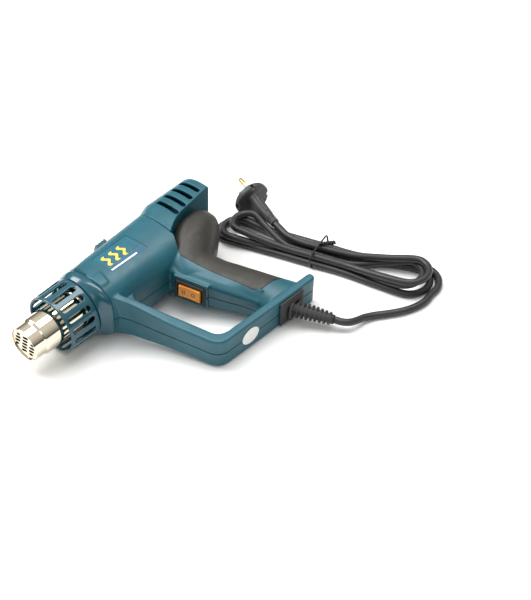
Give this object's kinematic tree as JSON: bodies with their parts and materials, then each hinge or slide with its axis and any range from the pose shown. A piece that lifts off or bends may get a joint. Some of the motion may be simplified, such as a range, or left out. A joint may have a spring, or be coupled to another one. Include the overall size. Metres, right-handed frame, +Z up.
{
  "type": "hot air gun",
  "caption": "Hand-held hot-air gun with a D-shaped handle, slotted heat guard, steel outlet and folded mains lead, lying on its side.",
  "frame": {"origin": "on the table under the middle of the gun as it lies on its side, cord not counted", "axes": "+X along the air outlet towards the nozzle, +Y towards the base of the handle, +Z up from the table, across the thickness of the gun"},
  "size_m": [0.3339, 0.2739, 0.0677],
  "materials": {
    "housing": "satin moulded teal plastic with a fine texture",
    "guard": "glossy darker teal plastic",
    "outlet": "polished plated steel",
    "grip_rubber": "soft matte grey overmould",
    "black_plastic": "black plastic",
    "rocker": "orange plastic with moulded position marks",
    "label": null,
    "sticker": "blank white paper or plastic",
    "cord_rubber": "black flexible rubber",
    "mica": "pale mica sheet",
    "heater_wire": "oxidised resistance wire",
    "steel": "plated steel",
    "circuit_board": "green circuit board",
    "brass": "nickel-washed brass"
  },
  "bodies": {
    "gun": {"housing_left": "housing", "housing_right": "housing", "rear_cap": "housing", "top_cover": "guard", "guard_collar": "guard", "heat_guard": "guard", "outlet_tube": "outlet", "outlet_grille": "outlet", "grip_cover_left": "grip_rubber", "grip_cover_right": "grip_rubber", "switch_bezel": "black_plastic", "switch_body": "black_plastic", "label_plate": "label", "base_sticker": "sticker", "strain_relief_flange": "cord_rubber", "strain_relief_boot": "cord_rubber", "mica_sleeve": "mica", "mica_former": "mica", "heating_coil": "heater_wire", "terminal_disc": "mica", "air_duct": "black_plastic", "motor_can": "steel", "motor_mount": "black_plastic", "control_board": "circuit_board", "thermal_cutout": "steel", "cord_clamp": "black_plastic", "clamp_screw_1": "steel", "clamp_screw_2": "steel", "terminal_block": "sticker", "inner_lead": "cord_rubber", "housing_screw_1": "steel", "housing_screw_2": "steel", "housing_screw_3": "steel", "housing_screw_4": "steel", "housing_screw_5": "steel", "cord_lead": "cord_rubber", "cord_hank": "cord_rubber", "cord_tail": "cord_rubber", "cord_tie": "cord_rubber", "plug_body": "cord_rubber", "plug_pin_1": "brass", "plug_pin_2": "brass"},
    "rocker": {"switch_rocker": "rocker"},
    "latch": {"guard_latch": "guard"},
    "rotor": {"fan_impeller": "black_plastic", "motor_shaft": "steel"}
  },
  "joints": [
    {"name": "rocker_tilt", "type": "hinge", "parent": "gun", "child": "rocker", "pos_m": [-0.03498, -0.01152, 0.02601], "axis": [0, 0.1264, 0.992], "range_deg": [-10, 10]},
    {"name": "latch_slide", "type": "slide", "parent": "gun", "child": "latch", "axis": [-1, 0, 0], "range_m": [0, 0.004], "stiffness_N_per_m": 200},
    {"name": "fan_spin", "type": "hinge", "parent": "gun", "child": "rotor", "pos_m": [0.00285, -0.07112, 0.03361], "axis": [1, 0, 0], "continuous": true}
  ]
}
